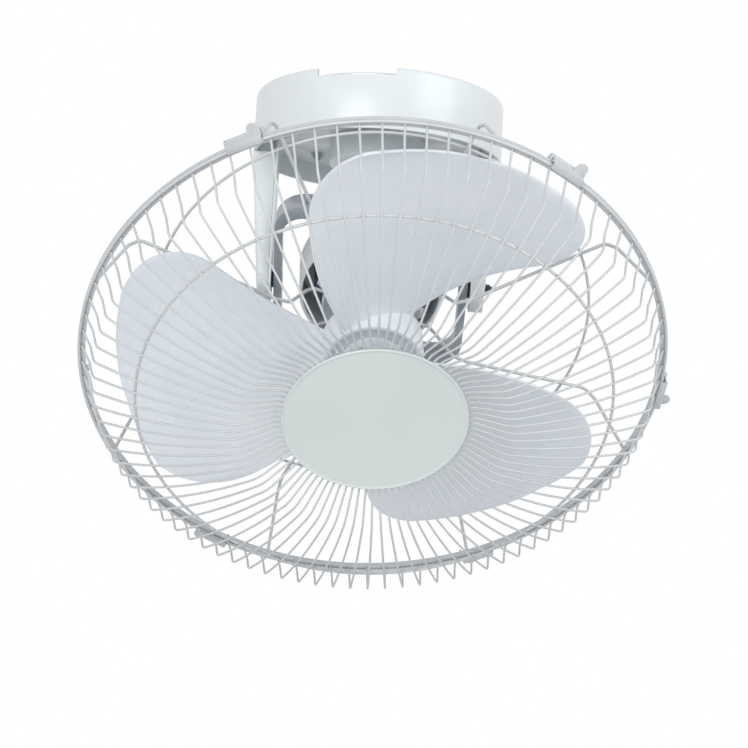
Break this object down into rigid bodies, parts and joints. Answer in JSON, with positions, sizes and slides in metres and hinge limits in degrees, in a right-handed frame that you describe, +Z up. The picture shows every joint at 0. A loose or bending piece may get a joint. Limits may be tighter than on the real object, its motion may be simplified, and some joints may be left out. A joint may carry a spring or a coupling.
{
  "type": "orbital ceiling fan",
  "caption": "Ceiling fan with a round canopy, two legs and a gimballed motor head; a crank in the canopy sweeps the caged three-blade propeller round in an orbit.",
  "frame": {"origin": "middle of the ceiling plate's upper face, where it lies on the ceiling", "axes": "+Z up into the ceiling; +X along the leg axis towards the leg with the lock nut; -Y towards the side that the shown head leans to"},
  "size_m": [0.4651, 0.362, 0.4055],
  "materials": {
    "canopy_white": "moulded, glossy",
    "motor_white": "powder coat, satin",
    "zinc_casting": "silver-grey lacquer on zinc casting",
    "guard_zinc": "grey lacquer",
    "steel": "zinc-plated",
    "black_plastic": "black, matt",
    "lamination": "varnished laminations",
    "copper": "enamelled copper wire",
    "bronze": "sintered bronze",
    "rotor_alloy": "die-cast",
    "blade_plastic": "moulded, semi-gloss",
    "wire_enamel": "enamelled steel wire",
    "badge_plastic": "moulded, glossy, bare"
  },
  "bodies": {
    "root": {"mounting_plate": "steel", "plate_studs": "steel", "canopy_nuts": "steel", "canopy_shell": "canopy_white", "terminal_block": "canopy_white", "run_capacitor": "black_plastic", "orbit_motor": "steel", "orbit_motor_screws": "steel", "orbit_housing": "canopy_white", "leg_frame": "steel", "frame_screws": "steel", "left_leg_cover": "canopy_white", "right_leg_cover": "canopy_white", "left_inner_cover": "canopy_white", "right_inner_cover": "canopy_white", "pivot_screws": "black_plastic", "lock_nut": "black_plastic"},
    "crank": {"orbit_shaft": "steel", "crank_arm": "steel", "crank_screw": "black_plastic", "ball_socket": "black_plastic"},
    "gimbal": {"gimbal_ring": "zinc_casting", "pivot_bushes": "black_plastic", "roll_screws": "steel"},
    "head": {"roll_bushes": "black_plastic", "motor_rear_shell": "motor_white", "motor_front_shell": "motor_white", "stator_core": "lamination", "stator_windings": "copper", "rear_bearing": "bronze", "front_bearing": "bronze", "shell_bolts": "motor_white", "tail_stem": "steel", "guard_clamp_ring": "steel", "clamp_screws": "steel", "rear_guard_stays": "wire_enamel", "rear_guard_ring": "wire_enamel", "guard_band": "guard_zinc", "clip_pins": "steel", "band_screw": "steel", "front_guard_wires": "wire_enamel", "front_guard_rings": "wire_enamel", "badge_plate": "steel", "badge_cap": "badge_plastic", "badge_screws": "steel"},
    "rotor": {"motor_shaft": "steel", "rotor_core": "rotor_alloy", "propeller": "blade_plastic", "spinner_nut": "blade_plastic"},
    "clip_1": {"guard_clip_1": "guard_zinc"},
    "clip_2": {"guard_clip_2": "guard_zinc"},
    "clip_3": {"guard_clip_3": "guard_zinc"},
    "clip_4": {"guard_clip_4": "guard_zinc"},
    "clip_5": {"guard_clip_5": "guard_zinc"}
  },
  "joints": [
    {"name": "head_pitch", "type": "hinge", "parent": "root", "child": "gimbal", "pos_m": [0, 0, -0.153], "axis": [1, 0, 0], "range_deg": [0, 84.56]},
    {"name": "head_roll", "type": "hinge", "parent": "gimbal", "child": "head", "pos_m": [0, 0, -0.153], "axis": [0, 0.7399, -0.6728], "range_deg": [-27.36, 32.64]},
    {"name": "crank_turn", "type": "hinge", "parent": "root", "child": "crank", "pos_m": [0, 0, -0.055], "axis": [0, 0, 1], "continuous": true},
    {"name": "propeller_spin", "type": "hinge", "parent": "head", "child": "rotor", "pos_m": [0, 0, -0.153], "axis": [0.0461, -0.672, -0.7391], "continuous": true},
    {"name": "clip_1_hinge", "type": "hinge", "parent": "head", "child": "clip_1", "pos_m": [-0.12314, 0.06531, -0.36362], "axis": [0.8282, 0.4394, -0.3479], "range_deg": [0, 100]},
    {"name": "clip_2_hinge", "type": "hinge", "parent": "head", "child": "clip_2", "pos_m": [0.10526, 0.08422, -0.36658], "axis": [0.8978, -0.2965, 0.3255], "range_deg": [0, 100]},
    {"name": "clip_3_hinge", "type": "hinge", "parent": "head", "child": "clip_3", "pos_m": [0.23329, -0.05239, -0.23438], "axis": [0.0697, -0.7359, 0.6735], "range_deg": [0, 100]},
    {"name": "clip_4_hinge", "type": "hinge", "parent": "head", "child": "clip_4", "pos_m": [0.13292, -0.20792, -0.09921], "axis": [-0.8282, -0.4394, 0.3479], "range_deg": [0, 100]},
    {"name": "clip_5_hinge", "type": "hinge", "parent": "head", "child": "clip_5", "pos_m": [-0.09548, -0.22683, -0.09625], "axis": [-0.8978, 0.2965, -0.3255], "range_deg": [0, 100]}
  ]
}
